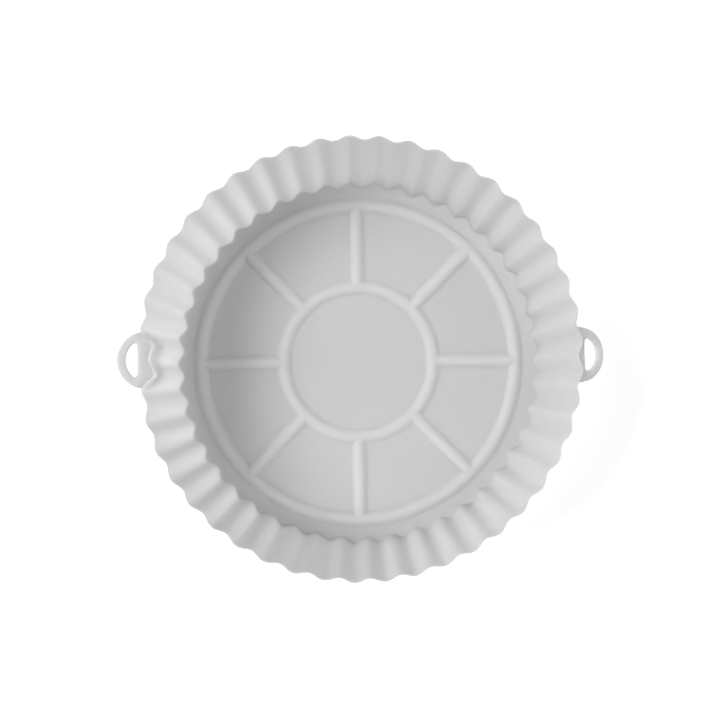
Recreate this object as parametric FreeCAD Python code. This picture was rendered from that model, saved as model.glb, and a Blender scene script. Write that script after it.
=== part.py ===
import FreeCAD, Part
import math
import os

# A round air fryer liner, moulded in one piece from silicone: a flat floor with raised ribs,
# a fluted wall that opens towards the rim, and a flat loop handle on each side.
# Millimetres. The origin is the middle of the underside, +Z is up, the handles lie on +X and -X.

# Wall and floor
height = 50.0            # underside to rim
rim_radius = 101.0       # outside of the wall at the rim, halfway between crest and groove
foot_radius = 87.4       # the same, where the wall would meet the underside
wall = 1.2               # thickness at the floor, square to the flutes
rim_wall = 0.8           # the same at the rim
floor = 1.8              # thickness between the ribs
base_bevel = 1.6         # at the foot of the wall, outside

# Flutes
flute_count = 45
rim_flute_depth = 1.92   # crest to groove at the rim
foot_flute_depth = 2.7   # crest to groove at the underside
crest_fullness = 1.3     # a crest's radius over a groove's

# Ribs on the floor
hub_radius = 36.1        # middle of the inner ring
ring_radius = 75.8       # middle of the outer ring
spoke_count = 8
rib_width = 6.6
rib_height = 1.4
crown_flats = 5          # flats that stand for a rib's oval crown

# Handles
handle_drop = 3.5        # rim down to the top of the handle
handle_thickness = 2.2
handle_span = 25.8       # along the wall; the loop's end is half round
handle_band = 3.4        # width of the loop at its tip
root_bar = 1.1           # between a crest of the wall and the hole
hole_reach = 5.5         # the hole, outwards
hole_span = 17.5         # the hole, along the wall, before its corners are rounded
hole_corner = 1.4
loop_bevel = 0.5         # edges of the loop

pitch = 2 * math.pi / flute_count
loop_edge = min(loop_bevel, 0.4 * handle_thickness)
handle_top = height - handle_drop
up = FreeCAD.Vector(0, 0, 1)


def at_height(rim_size, foot_size, z):
    """A size of the wall at height z, on the straight line from foot to rim."""
    return foot_size + (rim_size - foot_size) * z / height


def outward(distance, angle, z):
    return FreeCAD.Vector(distance * math.cos(angle), distance * math.sin(angle), z)


def along(start, end, distance):
    """The point at that distance from start towards end."""
    return start + (end - start).normalize() * distance


def flute_arcs(mean, depth):
    """Radius of a crest and distance of its centre, then the same two of a groove.

    A crest arc and a groove arc touch where their centres are as far apart as the two radii
    added. Half a pitch lies between the centres, which gives a quadratic in the radius.
    """
    crest_reach = mean + depth / 2
    groove_reach = mean - depth / 2
    turn = math.cos(pitch / 2)
    square = 2 * crest_fullness * (1 - turn)
    linear = 2 * (crest_fullness * crest_reach - groove_reach)
    linear += 2 * turn * (crest_reach - crest_fullness * groove_reach)
    apart = crest_reach**2 + groove_reach**2 - 2 * turn * crest_reach * groove_reach
    groove = (math.sqrt(linear**2 + 4 * square * apart) - linear) / (2 * square)
    crest = crest_fullness * groove
    return crest, crest_reach - crest, groove, groove_reach + groove


def flute_line(mean, depth, z, inwards):
    """The wavy outline at height z, as tangent arcs, moved inwards square to itself."""
    crest, crest_centre, groove, groove_centre = flute_arcs(mean, depth)
    crest -= inwards
    groove += inwards
    arcs = []
    for i in range(flute_count):
        middle = (i + 0.5) * pitch
        dip = middle + pitch / 2
        hill = outward(crest_centre, middle, z)
        next_hill = outward(crest_centre, middle + pitch, z)
        start = along(hill, outward(groove_centre, middle - pitch / 2, z), crest)
        turn = along(hill, outward(groove_centre, dip, z), crest)
        end = along(next_hill, outward(groove_centre, dip, z), crest)
        arcs.append(Part.Arc(start, outward(crest_centre + crest, middle, z), turn).toShape())
        arcs.append(Part.Arc(turn, outward(groove_centre - groove, dip, z), end).toShape())
    return Part.Wire(arcs)


def wall_line(z, inset, inwards):
    """The wall's outline at height z: inset is for the bevel, inwards for the thickness."""
    mean = at_height(rim_radius, foot_radius, z) - inset
    return flute_line(mean, at_height(rim_flute_depth, foot_flute_depth, z), z, inwards)


def outer_form():
    """The liner as a full block, with the bevel at its foot."""
    lines = [wall_line(0, base_bevel, 0), wall_line(base_bevel, 0, 0), wall_line(height, 0, 0)]
    return Part.makeLoft(lines, True, True)


def inner_form():
    """The space inside the liner, from the floor up."""
    return Part.makeLoft([wall_line(floor, 0, wall), wall_line(height, 0, rim_wall)], True, True)


def rib_section(place):
    """A rib's section: a half oval in flats above the floor, on a foot inside the floor."""
    half = rib_width / 2
    turns = [math.pi * (i / crown_flats - 0.5) for i in range(crown_flats + 1)]
    crown = [(half * math.sin(t), rib_height * math.cos(t)) for t in turns]
    outline = crown + [(half, -floor / 2), (-half, -floor / 2), crown[0]]
    return Part.Face(Part.makePolygon([place(across, floor + z) for across, z in outline]))


def ring_rib(radius):
    section = rib_section(lambda across, z: FreeCAD.Vector(radius + across, 0, z))
    return section.revolve(FreeCAD.Vector(0, 0, 0), up, 360)


def spoke_rib(number):
    """A rib from the middle of the inner ring to the middle of the outer one."""
    section = rib_section(lambda across, z: FreeCAD.Vector(hub_radius, across, z))
    spoke = section.extrude(FreeCAD.Vector(ring_radius - hub_radius, 0, 0))
    spoke.rotate(FreeCAD.Vector(0, 0, 0), up, 360 * number / spoke_count)
    return spoke


def slab(outline, thickness):
    return Part.Face(Part.Wire(outline)).extrude(up * thickness)


def arc_between(x, half, tip, z):
    """An arc from (x, -half) through (tip, 0) to (x, half)."""
    places = [(x, -half), (tip, 0), (x, half)]
    return Part.Arc(*[FreeCAD.Vector(a, b, z) for a, b in places]).toShape()


def handle_hole(x, z):
    """A D-shaped hole with its flat side at x, towards the wall, and rounded corners."""
    edge = arc_between(x, hole_span / 2, x + hole_reach, z)
    ends = [v.Point for v in edge.Vertexes]
    hole = slab([edge, Part.LineSegment(ends[1], ends[0]).toShape()], handle_thickness)
    corners = [e for e in hole.Edges if e.BoundBox.ZLength > handle_thickness / 2]
    return hole.makeFillet(hole_corner, corners)


def handle():
    """The loop on +X, with a root that reaches through the wall into the space inside."""
    z = handle_top - handle_thickness
    root = at_height(rim_radius, foot_radius, handle_top)
    depth = at_height(rim_flute_depth, foot_flute_depth, handle_top)
    hole_x = root + depth / 2 + root_bar
    tip = hole_x + hole_reach + handle_band
    half = handle_span / 2
    inside = root - depth - 2 * wall
    corners = [(tip - half, half), (inside, half), (inside, -half), (tip - half, -half)]
    back = Part.makePolygon([FreeCAD.Vector(x, y, z) for x, y in corners])
    plate = slab([arc_between(tip - half, half, tip, z)] + back.Edges, handle_thickness)
    loop = plate.cut(handle_hole(hole_x, z))
    level = [e for e in loop.Edges if e.BoundBox.ZLength < handle_thickness / 2]
    outer = [e for e in level if e.BoundBox.XMax > inside + wall / 2]
    return loop.makeChamfer(loop_edge, outer)


def liner():
    inner = inner_form()
    body = outer_form()
    for turn in (0, 180):
        loop = handle()
        loop.rotate(FreeCAD.Vector(0, 0, 0), up, turn)
        body = body.fuse(loop)
    body = body.cut(inner)
    ribs = [ring_rib(hub_radius), ring_rib(ring_radius)]
    ribs += [spoke_rib(i) for i in range(spoke_count)]
    return body.fuse(ribs).removeSplitter()


os.makedirs("parts", exist_ok=True)
shape = liner()
shape.exportStep("parts/liner.step")
box = shape.BoundBox
print("liner:", len(shape.Solids), "solid, valid", shape.isValid(), "volume", round(shape.Volume))
print("size", round(box.XLength, 2), round(box.YLength, 2), round(box.ZLength, 2))
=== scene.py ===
import math
import bmesh
import bpy
import numpy as np
from mathutils import Matrix, Vector


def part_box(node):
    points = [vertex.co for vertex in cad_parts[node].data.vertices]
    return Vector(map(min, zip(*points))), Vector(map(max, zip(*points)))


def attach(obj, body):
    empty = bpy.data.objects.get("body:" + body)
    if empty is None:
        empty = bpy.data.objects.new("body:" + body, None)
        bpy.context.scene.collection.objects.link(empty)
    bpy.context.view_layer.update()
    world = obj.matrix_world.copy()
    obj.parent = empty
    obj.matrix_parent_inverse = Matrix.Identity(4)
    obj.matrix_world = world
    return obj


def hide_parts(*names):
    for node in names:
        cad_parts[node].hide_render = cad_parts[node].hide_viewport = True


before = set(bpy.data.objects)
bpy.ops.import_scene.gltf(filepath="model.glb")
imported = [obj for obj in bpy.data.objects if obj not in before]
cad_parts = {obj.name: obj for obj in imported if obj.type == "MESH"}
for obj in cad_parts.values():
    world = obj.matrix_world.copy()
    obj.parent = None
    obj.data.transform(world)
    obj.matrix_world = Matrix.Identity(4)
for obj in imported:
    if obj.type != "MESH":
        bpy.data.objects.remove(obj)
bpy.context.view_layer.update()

mm = 0.001
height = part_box("liner")[1].z / mm
print("frame loaded, height", round(height, 2))


# The fluted bowl. All sizes in millimetres.
bowl = {
    "rimRadius": 101.0, "footRadius": 87.0, "wall": 1.15, "rimWall": 0.8, "floor": 1.8,
    "flutes": 45, "rimDepth": 1.95, "footDepth": 2.8, "crestFullness": 0.05,
    "baseRound": 2.0, "wellRound": 0.7, "rimRound": 0.39,
    "around": 720, "crowding": 0.35,  # points round each ring, and how they crowd at the crests
    "underside": (0.2, 0.97, 4),  # rings below the floor: first and last share of the foot, count
    "roundSteps": 4, "outerSteps": 10, "innerSteps": 10,
}

# The rim beside the handle on -X leans inwards, as soft silicone does. Millimetres, and
# degrees round the liner.
lean = {
    "angle": 180.0, "from": 4.0, "bend": 1.25,
    "near": 3.9, "nearHalf": 4.3, "nearFade": 4.0,
    "far": 2.2, "farHalf": 13.0,
    "skew": 0.12, "skewHalf": 5.0, "slide": 0.4, "slideHalf": 4.0,
}

# The ribs on the floor: two rings and the spokes between them, with a round crown.
ribs = {
    "hub": 36.3, "ring": 76.1, "spokes": 8,
    "halfWidth": 3.3, "height": 1.4, "roundness": 2.1, "blend": 0.4, "foot": 0.7,
    "band": 4.2, "bandSteps": 12,  # half the width that gets close points, and their number
    "outerShares": (0.3, 0.65), "betweenSteps": 12, "discSteps": 7, "discInner": 2.0,
}


def smooth(t):
    # 3 t squared minus 2 t cubed between 0 and 1
    t = np.clip(t, 0.0, 1.0)
    return t * t * (3.0 - 2.0 * t)


def quarterCurve(t):
    # the height of a quarter circle: the root of 1 - (1 - t) squared, between 0 and 1
    t = np.clip(t, 0.0, 1.0)
    return np.sqrt(1.0 - (1.0 - t) ** 2)


def wallLine(angles, z, inset=0.0, inwards=0.0):
    # radius = mean + half the depth times a wave with a crest at half a pitch, fuller at its
    # crests; then a step inwards along the line's own normal
    share = z / height
    mean = bowl["footRadius"] + (bowl["rimRadius"] - bowl["footRadius"]) * share - inset
    depth = bowl["footDepth"] + (bowl["rimDepth"] - bowl["footDepth"]) * share
    turn = bowl["flutes"] * angles + math.pi
    fuller = depth / 2 * bowl["crestFullness"]
    radius = mean + depth / 2 * np.cos(turn) - fuller * np.cos(2 * turn)
    slope = bowl["flutes"] * (2 * fuller * np.sin(2 * turn) - depth / 2 * np.sin(turn))
    out = np.stack([np.cos(angles), np.sin(angles)], 1)
    side = np.stack([-np.sin(angles), np.cos(angles)], 1)
    along = out * slope[:, None] + side * radius[:, None]
    along /= np.linalg.norm(along, axis=1)[:, None]
    normal = np.stack([along[:, 1], -along[:, 0]], 1)
    return out * radius[:, None] - normal * inwards


def wallThickness(z):
    # on a straight line from the floor to the rim
    share = (z - bowl["floor"]) / (height - bowl["floor"])
    return bowl["wall"] + (bowl["rimWall"] - bowl["wall"]) * share


def fromLean(points):
    # degrees round the liner from the middle of the lean
    return np.degrees(np.arctan2(points[:, 1], points[:, 0])) % 360.0 - lean["angle"]


def leanAt(points, z):
    # how far the rim leans in: (a plateau beside the handle + a wide soft hump) x the skew x
    # the share of the height above the start, to the power of the bend
    turn = fromLean(points)
    near = lean["near"] * (1.0 - smooth((np.abs(turn) - lean["nearHalf"]) / lean["nearFade"]))
    far = lean["far"] * np.exp(-(turn / lean["farHalf"]) ** 2)
    rise = np.clip((z - lean["from"]) / (height - lean["from"]), 0.0, None) ** lean["bend"]
    return (near + far) * (1.0 + lean["skew"] * np.tanh(turn / lean["skewHalf"])) * rise


def slideAt(points, z):
    # beside the handle the leaned rim also slides a little along itself: slide x (1 + the
    # tanh of the turn) x the lean as a share of its plateau
    share = np.clip(leanAt(points, z) / lean["near"], 0.0, 1.0)
    return lean["slide"] * (1.0 + np.tanh(fromLean(points) / lean["slideHalf"])) * share


def leaned(points, z):
    # the lean moves a point straight in, and then along the rim
    reach = np.linalg.norm(points, axis=1)
    moved = points * (1.0 - leanAt(points, z) / reach)[:, None]
    moved[:, 1] += slideAt(points, z)
    return moved


def softHigher(one, other, blend):
    # the higher of two, plus (blend - their difference) squared / (4 x blend) where they
    # come within the blend of each other
    close = np.maximum(blend - np.abs(one - other), 0.0)
    return np.maximum(one, other) + close**2 / (4.0 * blend)


def ribProfile(distance):
    # height x (1 - (distance / half width) to the power of the roundness), below 0 outside
    share = np.abs(distance) / ribs["halfWidth"]
    return ribs["height"] * (1.0 - share ** ribs["roundness"])


def ribHeight(x, y):
    # the highest of the rings, the spokes and the floor, rounded where they meet
    reach = np.hypot(x, y)
    pitch = 2.0 * math.pi / ribs["spokes"]
    turn = np.arctan2(y, x)
    turn = turn - pitch * np.round(turn / pitch)
    across = np.abs(reach * np.sin(turn))
    between = (reach > ribs["hub"]) & (reach < ribs["ring"])
    highest = np.where(between, ribProfile(across), -ribs["height"])
    for middle in (ribs["hub"], ribs["ring"]):
        highest = softHigher(highest, ribProfile(reach - middle), ribs["blend"])
    return softHigher(np.minimum(highest, ribs["height"]), 0.0, ribs["foot"])


def ring(points, z):
    # the points of an outline, each with its height
    return np.column_stack([points, np.broadcast_to(z, len(points))])


def bowlRings():
    # rings from the underside's middle out, up the outside, over the rim, down the inside
    # and across the floor to its middle; the points crowd at the crests of the flutes
    angles = np.arange(bowl["around"]) * 2.0 * math.pi / bowl["around"]
    angles = angles + bowl["crowding"] * np.sin(bowl["flutes"] * angles) / bowl["flutes"]
    quarter = np.linspace(0.0, math.pi / 2, bowl["roundSteps"] + 1)
    baseRound, wellRound, rimRound = bowl["baseRound"], bowl["wellRound"], bowl["rimRound"]
    floor, rimWall = bowl["floor"], bowl["rimWall"]
    rings = []
    foot = wallLine(angles, 0.0, baseRound)
    for share in np.linspace(*bowl["underside"]):
        rings.append(ring(foot * share, 0.0))
    for turn in quarter:
        z = baseRound * (1.0 - math.cos(turn))
        rings.append(ring(wallLine(angles, z, baseRound * (1.0 - math.sin(turn))), z))
    top = height - rimRound
    for z in np.linspace(baseRound, top, bowl["outerSteps"] + 1)[1:]:
        rings.append(ring(leaned(wallLine(angles, z), z), z))
    for turn in quarter[1:]:
        z = top + rimRound * math.sin(turn)
        line = wallLine(angles, height, 0.0, rimRound * (1.0 - math.cos(turn)))
        rings.append(ring(leaned(line, z), z))
    for turn in quarter[::-1]:
        z = top + rimRound * math.sin(turn)
        line = wallLine(angles, height, 0.0, rimWall - rimRound * (1.0 - math.cos(turn)))
        rings.append(ring(leaned(line, z), z))
    for z in np.linspace(top, floor + wellRound, bowl["innerSteps"] + 1)[1:]:
        rings.append(ring(leaned(wallLine(angles, z, 0.0, wallThickness(z)), z), z))
    for turn in quarter[1:]:
        z = floor + wellRound * (1.0 - math.sin(turn))
        inset = wellRound * (1.0 - math.cos(turn))
        rings.append(ring(wallLine(angles, z, inset, wallThickness(z)), z))
    rings += floorRings(rings[-1][:, :2])
    return rings


def spokeColumns(reach):
    # angles of the points at one radius: the columns beside each spoke run parallel to it,
    # the others share out what is left of the sector
    perSector = bowl["around"] // ribs["spokes"]
    number = np.arange(bowl["around"])
    sector = np.floor(number / perSector + 0.5)
    place = number - sector * perSector
    steps = ribs["bandSteps"]
    across = ribs["band"] * np.clip(place / steps, -1.0, 1.0)
    inside = np.arcsin(across / np.clip(reach, ribs["hub"] - ribs["halfWidth"], None))
    share = np.clip((np.abs(place) - steps) / (perSector / 2 - steps), 0.0, 1.0)
    half = math.pi / ribs["spokes"]
    turn = inside + (np.sign(place) * half - inside) * share
    return sector * 2.0 * half + turn


def floorRings(edge):
    # from the fluted edge to a circle, then close circles across the two ring ribs, with
    # plain ones between and inside them
    band = np.linspace(ribs["band"], -ribs["band"], 2 * ribs["bandSteps"] + 1)
    ringReach = ribs["ring"] + band
    hubReach = ribs["hub"] + band
    between = np.linspace(ringReach[-1], hubReach[0], ribs["betweenSteps"] + 2)[1:-1]
    disc = np.linspace(hubReach[-1], ribs["discInner"], ribs["discSteps"] + 1)[1:]
    rings = []
    outer = spokeColumns(ringReach[0])
    circle = np.stack([np.cos(outer), np.sin(outer)], 1) * ringReach[0]
    for share in ribs["outerShares"]:
        rings.append(ring(edge * (1.0 - share) + circle * share, bowl["floor"]))
    for reach in np.concatenate([ringReach, between, hubReach, disc]):
        turn = spokeColumns(reach)
        x, y = reach * np.cos(turn), reach * np.sin(turn)
        rings.append(ring(np.stack([x, y], 1), bowl["floor"] + ribHeight(x, y)))
    return rings


def gridMesh(name, rings, poles):
    # rings of points joined by quads, closed at both ends by a fan to a pole
    count = len(rings[0])
    points = np.concatenate(rings + [np.array(poles)]) * mm
    first = np.arange(count)
    after = np.roll(first, -1)
    quads = []
    for i in range(len(rings) - 1):
        low, high = i * count, (i + 1) * count
        quads.append(np.stack([low + first, low + after, high + after, high + first], 1))
    quads = np.concatenate(quads)
    startPole = len(rings) * count
    last = (len(rings) - 1) * count
    startFan = np.stack([after, first, np.full(count, startPole)], 1)
    endFan = np.stack([last + first, last + after, np.full(count, startPole + 1)], 1)
    mesh = bpy.data.meshes.new(name)
    mesh.from_pydata(points.tolist(), [], quads.tolist() + startFan.tolist() + endFan.tolist())
    return mesh


# The two handles, each in its own frame with x outwards. Millimetres. The plate rises or dips
# towards the wall over its rise reach.
handles = {
    "handleRight": {
        "turn": 0.0, "shift": 0.3,
        "tip": 111.5, "halfSpan": 12.7, "squareness": 2.2, "reach": 12.6,
        "holeFrom": 102.75, "holeTo": 108.2, "holeBow": 9.0, "holeCorner": 2.3,
        "rise": 2.2, "riseReach": 10.0,
    },
    "handleLeft": {
        "turn": 180.0, "shift": -0.35,
        "tip": 110.65, "halfSpan": 13.1, "squareness": 2.0, "reach": 13.0,
        "holeFrom": 101.35, "holeTo": 106.5, "holeBow": 9.9, "holeCorner": 2.3,
        "rise": -1.1, "riseReach": 6.5,
    },
}

# What both handles share.
handleForm = {
    "top": 46.5, "thickness": 2.2, "edge": 0.95, "belowRim": 0.6,
    "flare": 1.1, "rootDepth": 0.4, "rootFade": 2.6,  # where the loop grows out of the wall
    "middle": 0.42,  # where the rays start, as a share of the hole's width
    "rootFacing": 0.35,  # rays that point farther outwards than this never meet the wall
    "farthest": 40.0, "farthestWall": 60.0, "halvings": 30,
    "around": 192, "across": 13,
}


def fromWall(points, z, turn, inwards=0.0):
    # how far each point lies outside the leaned wall at its height, along the radius; turn is
    # the turn of the points' own frame
    cos, sin = math.cos(math.radians(turn)), math.sin(math.radians(turn))
    places = points @ np.array([[cos, sin], [-sin, cos]])
    places[:, 1] -= slideAt(places, z)
    line = wallLine(np.arctan2(places[:, 1], places[:, 0]), z, 0.0, inwards)
    return np.linalg.norm(places, axis=1) - np.linalg.norm(line, axis=1) + leanAt(line, z)


def rooted(points, atRoot, fromEnd, turn):
    # rows of the root drawn along the radius until their ends lie inside the wall's thickness
    # at their own height; the draw fades out away from the end
    over = fromWall(points[:, :2], points[:, 2], turn, handleForm["rootDepth"]).reshape(fromEnd.shape)
    fade = smooth(1.0 - fromEnd / handleForm["rootFade"])
    move = (over[:, -1:] * fade * atRoot[:, None]).ravel()
    points[:, :2] *= (1.0 - move / np.linalg.norm(points[:, :2], axis=1))[:, None]
    return points


def reachWhere(centre, way, outside, farthest):
    # how far each ray from the centre runs before it is outside, by halving the stretch
    near = np.zeros(len(way))
    far = np.full(len(way), farthest)
    for _ in range(handleForm["halvings"]):
        middle = (near + far) / 2
        beyond = outside(centre + way * middle[:, None])
        near = np.where(beyond, near, middle)
        far = np.where(beyond, middle, far)
    return (near + far) / 2


def outsideHole(points, size):
    # a circle's arc cut by a straight side; the corners are round because both limits are
    # drawn in by the corner's radius and met by a circle of that radius
    corner = size["holeCorner"]
    bowMiddle = np.array([size["holeTo"] - size["holeBow"], size["shift"]])
    pastBow = np.linalg.norm(points - bowMiddle, axis=1) - size["holeBow"] + corner
    pastSide = size["holeFrom"] - points[:, 0] + corner
    both = np.hypot(np.maximum(pastBow, 0.0), np.maximum(pastSide, 0.0))
    return both + np.minimum(np.maximum(pastBow, pastSide), 0.0) > corner


def ovalLevel(points, size):
    # 1 on the handle's outside, a squarish half oval with straight flanks towards the wall
    x = np.maximum(points[:, 0] - size["tip"] + size["reach"], 0.0) / size["reach"]
    y = np.abs(points[:, 1] - size["shift"]) / size["halfSpan"]
    power = size["squareness"]
    return (x**power + y**power) ** (1.0 / power)


def handleMesh(name, size):
    # a loop carried round the hole: across it, a section with rounded edges that flares
    # where it meets the wall; its root ends inside the wall's thickness
    form = handleForm
    z = form["top"] - form["thickness"] / 2
    across = size["holeTo"] - size["holeFrom"]
    centre = np.array([size["holeFrom"] + form["middle"] * across, size["shift"]])
    turns = np.arange(form["around"]) * 2.0 * math.pi / form["around"]
    way = np.stack([np.cos(turns), np.sin(turns)], 1)

    def pastHole(points):
        return outsideHole(points, size)

    def pastOval(points):
        return ovalLevel(points, size) > 1.0

    def inWall(points):
        return fromWall(points, z, size["turn"], form["rootDepth"]) < 0.0

    inner = reachWhere(centre, way, pastHole, form["farthest"])
    outer = reachWhere(centre, way, pastOval, form["farthest"])
    toWall = reachWhere(centre, way, inWall, form["farthestWall"])
    atRoot = (way[:, 0] < form["rootFacing"]) & (toWall < outer)
    outer = np.where(atRoot, toWall, outer)

    share = 0.5 - 0.5 * np.cos(np.linspace(0.0, math.pi, form["across"]))
    reach = inner[:, None] + (outer - inner)[:, None] * share[None, :]
    flat = centre + way[:, None, :] * reach[:, :, None]
    points = flat.reshape(-1, 2)
    fromHole = (reach - inner[:, None]).ravel()
    fromOutside = (1.0 - ovalLevel(points, size)) * size["halfSpan"]
    outside = fromWall(points, form["top"], size["turn"])
    half = form["thickness"] / 2 * quarterCurve(fromHole / form["edge"])
    half = half * quarterCurve(fromOutside / form["edge"])
    flared = form["flare"] * (1.0 - quarterCurve(outside / form["flare"]))
    half = half + flared * (outside < form["flare"])
    bent = z + size["rise"] * (1.0 - smooth(outside / size["riseReach"]))
    fromEnd = outer[:, None] - reach
    highest = np.minimum(bent + half, height - form["belowRim"])
    upper = rooted(np.column_stack([points, highest]), atRoot, fromEnd, size["turn"])
    lower = rooted(np.column_stack([points, bent - half]), atRoot, fromEnd, size["turn"])
    return loopMesh(name, upper, lower, size["turn"])


def loopMesh(name, upper, lower, turn):
    # the upper and the lower rows joined to a closed loop by quads, and turned to their side
    form = handleForm
    rows, columns = form["around"], form["across"]
    upper = upper.reshape(rows, columns, 3)
    lower = lower.reshape(rows, columns, 3)
    section = np.concatenate([upper, lower[:, ::-1]], axis=1)
    count = 2 * columns
    points = section.reshape(-1, 3) * mm
    row = np.arange(rows)[:, None]
    column = np.arange(count)[None, :]
    nextRow = (row + 1) % rows
    nextColumn = (column + 1) % count
    quads = np.stack(np.broadcast_arrays(
        row * count + column, row * count + nextColumn,
        nextRow * count + nextColumn, nextRow * count + column), -1).reshape(-1, 4)
    mesh = bpy.data.meshes.new(name)
    mesh.from_pydata(points.tolist(), [], quads.tolist())
    work = bmesh.new()
    work.from_mesh(mesh)
    bmesh.ops.remove_doubles(work, verts=work.verts, dist=1e-6)
    bmesh.ops.dissolve_degenerate(work, edges=work.edges, dist=1e-7)
    bmesh.ops.recalc_face_normals(work, faces=work.faces)
    toSide = Matrix.Rotation(math.radians(turn), 3, "Z")
    bmesh.ops.rotate(work, verts=work.verts, cent=(0, 0, 0), matrix=toSide)
    work.to_mesh(mesh)
    work.free()
    return mesh


def showObject(name, mesh):
    piece = bpy.data.objects.new(name, mesh)
    bpy.context.scene.collection.objects.link(piece)
    return piece


# Satin silicone: a pale neutral grey with faint mottling, fine moulding grain and a soft inside.
silicone = {
    "colour": (0.690, 0.690, 0.686), "darker": (0.668, 0.668, 0.664),
    "mottling": 60.0, "mottlingDetail": 3.0, "mottlingSpan": (0.3, 0.7),
    "roughness": (0.46, 0.58), "gloss": 0.35, "ior": 1.41, "inside": 1.0,
    "grain": 2600.0, "grainDetail": 2.0, "grainDepth": 0.012, "grainStrength": 0.25,
}

# How far light goes inside the silicone, and the stretches over which that changes.
# Millimetres; the behind half is in degrees round the liner.
insideLight = {
    "floorAndRib": (5.6, 5.8), "ribFade": 0.4,
    "footAndRim": (19.0, 7.5), "wallFrom": 84.5, "wallStart": 0.1, "wallFade": 0.4,
    "behindLoop": 2.2, "behindHalf": 8.0,
    # the loop tone is painted shade: it darkens the colour of the loops
    "loop": 6.5, "loopFade": 0.8, "loopPaintedShade": 0.92,
}


def lightReach(points):
    # how far light goes inside, in metres: about even in the floor and its ribs, farthest in
    # the thin wall, which is free on both sides, less towards its rim, and farther again
    # behind the loop on -X; and a painted shade that darkens the colour of the loops
    z, flat = points[:, 2], points[:, :2]
    radius = np.linalg.norm(flat, axis=1)
    floor = bowl["floor"]
    reach = np.interp(z, [floor, floor + insideLight["ribFade"]], insideLight["floorAndRib"])
    inWall = smooth((z - floor - insideLight["wallStart"]) / insideLight["wallFade"])
    inWall = inWall * smooth(radius - insideLight["wallFrom"])
    bell = np.exp(-(fromLean(flat) / insideLight["behindHalf"]) ** 2)
    behind = 1.0 + insideLight["behindLoop"] * bell * z / height
    wallReach = np.interp(z, [floor, height], insideLight["footAndRim"]) * behind
    reach += (wallReach - reach) * inWall
    inLoop = smooth(fromWall(flat, z, 0.0) / insideLight["loopFade"])
    inLoop = inLoop * (z > height / 2)  # the loops are in the upper half
    reach += (insideLight["loop"] - reach) * inLoop
    # the second value is painted shade: a darker colour in the loops
    return reach * mm, 1.0 - (1.0 - insideLight["loopPaintedShade"]) * inLoop


def siliconeMaterial():
    # the mottling mixes the two colours, darkened in the loops by painted shade, and sets the
    # roughness; the grain is a bump; the reach sets how far light goes inside
    material = bpy.data.materials.new("satinSilicone")
    material.use_nodes = True
    nodes, links = material.node_tree.nodes, material.node_tree.links
    shader = nodes["Principled BSDF"]
    place = nodes.new("ShaderNodeTexCoord")
    mottle = nodes.new("ShaderNodeTexNoise")
    mottle.inputs["Scale"].default_value = silicone["mottling"]
    mottle.inputs["Detail"].default_value = silicone["mottlingDetail"]
    grain = nodes.new("ShaderNodeTexNoise")
    grain.inputs["Scale"].default_value = silicone["grain"]
    grain.inputs["Detail"].default_value = silicone["grainDetail"]
    colour = nodes.new("ShaderNodeMix")
    colour.data_type = "RGBA"
    colour.inputs["A"].default_value = (*silicone["darker"], 1.0)
    colour.inputs["B"].default_value = (*silicone["colour"], 1.0)
    rough = nodes.new("ShaderNodeMapRange")
    rough.inputs["From Min"].default_value = silicone["mottlingSpan"][0]
    rough.inputs["From Max"].default_value = silicone["mottlingSpan"][1]
    rough.inputs["To Min"].default_value = silicone["roughness"][0]
    rough.inputs["To Max"].default_value = silicone["roughness"][1]
    bump = nodes.new("ShaderNodeBump")
    bump.inputs["Strength"].default_value = silicone["grainStrength"]
    bump.inputs["Distance"].default_value = silicone["grainDepth"] * mm
    # the tone attribute carries painted shade that darkens the loops' colour
    paintedShade = nodes.new("ShaderNodeAttribute")
    paintedShade.attribute_name = "paintedShade"
    paintedShadeScale = nodes.new("ShaderNodeVectorMath")
    paintedShadeScale.operation = "SCALE"
    reach = nodes.new("ShaderNodeAttribute")
    reach.attribute_name = "reach"
    links.new(place.outputs["Object"], mottle.inputs["Vector"])
    links.new(place.outputs["Object"], grain.inputs["Vector"])
    links.new(mottle.outputs["Fac"], colour.inputs["Factor"])
    links.new(colour.outputs["Result"], paintedShadeScale.inputs[0])
    links.new(paintedShade.outputs["Fac"], paintedShadeScale.inputs["Scale"])
    links.new(paintedShadeScale.outputs["Vector"], shader.inputs["Base Color"])
    links.new(mottle.outputs["Fac"], rough.inputs["Value"])
    links.new(rough.outputs["Result"], shader.inputs["Roughness"])
    links.new(grain.outputs["Fac"], bump.inputs["Height"])
    links.new(bump.outputs["Normal"], shader.inputs["Normal"])
    links.new(reach.outputs["Fac"], shader.inputs["Subsurface Scale"])
    shader.inputs["IOR"].default_value = silicone["ior"]
    shader.inputs["Specular IOR Level"].default_value = silicone["gloss"]
    shader.inputs["Subsurface Weight"].default_value = silicone["inside"]
    shader.inputs["Subsurface Radius"].default_value = (1.0, 1.0, 1.0)
    return material


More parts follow.
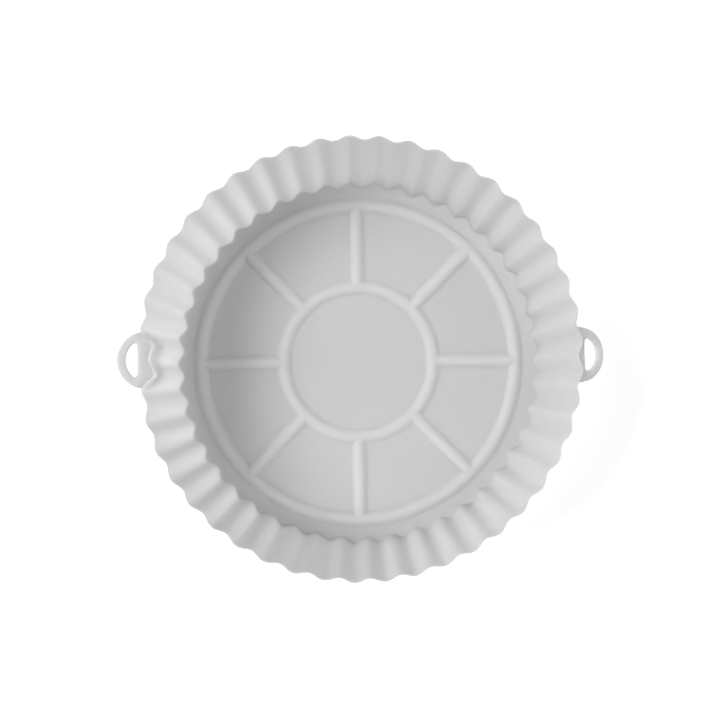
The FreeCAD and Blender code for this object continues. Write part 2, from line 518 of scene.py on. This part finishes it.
def buildLiner():
    # the bowl, with each handle joined to it, as one piece
    rings = bowlRings()
    poles = [(0.0, 0.0, 0.0), (0.0, 0.0, bowl["floor"])]
    shell = showObject("liner.moulding", gridMesh("linerMoulding", rings, poles))
    for name, size in handles.items():
        loop = showObject(name, handleMesh(name, size))
        join = shell.modifiers.new("join", "BOOLEAN")
        join.operation = "UNION"
        join.solver = "EXACT"
        join.object = loop
        graph = bpy.context.evaluated_depsgraph_get()
        joined = bpy.data.meshes.new_from_object(shell.evaluated_get(graph))
        shell.modifiers.clear()
        shell.data = joined
        bpy.data.objects.remove(loop)
        print(name, "joined,", len(joined.vertices), "vertices")
    shell.data.name = "linerMoulding"
    shell.data.polygons.foreach_set("use_smooth", np.ones(len(shell.data.polygons), bool))
    points = np.empty(len(shell.data.vertices) * 3)
    shell.data.vertices.foreach_get("co", points)
    # the reach, and the tone that paints shade into the loops' colour
    for name, values in zip(("reach", "paintedShade"), lightReach(points.reshape(-1, 3) / mm)):
        shell.data.attributes.new(name, "FLOAT", "POINT").data.foreach_set("value", values)
    shell.data.materials.clear()
    shell.data.materials.append(siliconeMaterial())
    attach(shell, "root")
    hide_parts("liner")
    print("liner built,", len(shell.data.polygons), "faces")
    return shell


# The studio: a white floor that keeps a faint shadow, and soft light. The key light comes from
# the left, the rest is weak light from all round. Each lamp has its azimuth and elevation in
# degrees and its strength; at strength 1 it lights a white card that faces it to white.
studio = {
    "floorHalf": 3.0, "floorColour": 0.90, "floorRoughness": 0.9, "floorGlow": 0.55,
    "spread": 24.0,
    "lamps": {
        "keyLeft": (180.0, 42.0, 0.50), "keyLeftBack": (150.0, 41.0, 0.27),
        "lowBack": (105.0, 12.0, 0.06), "rightBack": (48.0, 42.0, 0.085),
        "right": (342.0, 42.0, 0.13), "lowRight": (352.0, 27.0, 0.075),
        "highFront": (305.0, 62.0, 0.17), "overhead": (0.0, 90.0, 0.06),
    },
}


def seenDirectly(nodes, links):
    # 1 for rays from the camera, mirrored ones and ones through glass, else 0
    path = nodes.new("ShaderNodeLightPath")
    seen = path.outputs["Is Camera Ray"]
    for kind in ("Is Glossy Ray", "Is Transmission Ray"):
        either = nodes.new("ShaderNodeMath")
        either.operation = "ADD"
        either.use_clamp = True
        links.new(seen, either.inputs[0])
        links.new(path.outputs[kind], either.inputs[1])
        seen = either.outputs[0]
    return seen


def studioFloor():
    # a pale square that also glows a little where it is seen, so that only the shadow is grey
    half = studio["floorHalf"]
    corners = [(-half, -half, 0), (half, -half, 0), (half, half, 0), (-half, half, 0)]
    mesh = bpy.data.meshes.new("studioFloor")
    mesh.from_pydata(corners, [], [(0, 1, 2, 3)])
    floor = showObject("studioFloor", mesh)
    material = bpy.data.materials.new("whiteFloor")
    material.use_nodes = True
    nodes, links = material.node_tree.nodes, material.node_tree.links
    shader = nodes["Principled BSDF"]
    shader.inputs["Base Color"].default_value = (*[studio["floorColour"]] * 3, 1.0)
    shader.inputs["Roughness"].default_value = studio["floorRoughness"]
    shader.inputs["Specular IOR Level"].default_value = 0.0
    shader.inputs["Emission Color"].default_value = (1.0, 1.0, 1.0, 1.0)
    glow = nodes.new("ShaderNodeMath")
    glow.operation = "MULTIPLY"
    glow.inputs[1].default_value = studio["floorGlow"]
    links.new(seenDirectly(nodes, links), glow.inputs[0])
    links.new(glow.outputs[0], shader.inputs["Emission Strength"])
    mesh.materials.append(material)


def studioLamps():
    # wide suns that shine towards the liner from their azimuth and elevation
    for name, (azimuth, elevation, strength) in studio["lamps"].items():
        lamp = bpy.data.lights.new(name, "SUN")
        lamp.angle = math.radians(studio["spread"])
        lamp.energy = math.pi * strength
        turn, rise = math.radians(azimuth), math.radians(elevation)
        way = Vector((math.cos(turn) * math.cos(rise), math.sin(turn) * math.cos(rise), math.sin(rise)))
        holder = bpy.data.objects.new(name, lamp)
        holder.rotation_euler = way.to_track_quat("Z", "Y").to_euler()
        bpy.context.scene.collection.objects.link(holder)


def studioWorld():
    # white where it is seen, and no light besides
    world = bpy.data.worlds.new("paleRoom")
    world.use_nodes = True
    nodes, links = world.node_tree.nodes, world.node_tree.links
    background = nodes["Background"]
    background.inputs["Color"].default_value = (1.0, 1.0, 1.0, 1.0)
    links.new(seenDirectly(nodes, links), background.inputs["Strength"])
    bpy.context.scene.world = world


# The camera, almost straight above. The offsets are in millimetres along the picture's own
# right and up, and the liner is turned a little anticlockwise in the picture, in degrees.
view = {
    "right": -8.8, "up": -28.0, "high": 750.0,
    "aimRight": 0.15, "aimUp": -1.0, "aimHigh": 50.0,
    "turned": 0.75, "focalPixels": 1544.0, "pixels": 720, "sensor": 36.0,
    "clip": (0.01, 20.0),  # metres
}


def placeCamera():
    # it looks from its place to the aim, with the picture's up as near to +Y as it can be
    turn = Matrix.Rotation(math.radians(-view["turned"]), 3, "Z")
    place = turn @ Vector((view["right"], view["up"], view["high"])) * mm
    aim = turn @ Vector((view["aimRight"], view["aimUp"], view["aimHigh"])) * mm
    back = (place - aim).normalized()
    right = (turn @ Vector((0.0, 1.0, 0.0))).cross(back).normalized()
    upwards = back.cross(right)
    lens = bpy.data.cameras.new("overhead")
    lens.sensor_width = view["sensor"]
    lens.lens = lens.sensor_width * view["focalPixels"] / view["pixels"]
    lens.clip_start, lens.clip_end = view["clip"]
    camera = bpy.data.objects.new("overhead", lens)
    camera.matrix_world = Matrix((right, upwards, back)).transposed().to_4x4()
    camera.location = place
    bpy.context.scene.collection.objects.link(camera)
    bpy.context.scene.camera = camera


buildLiner()
studioFloor()
studioLamps()
studioWorld()
placeCamera()
bpy.context.scene.view_settings.view_transform = "Standard"
print("studio and camera placed")
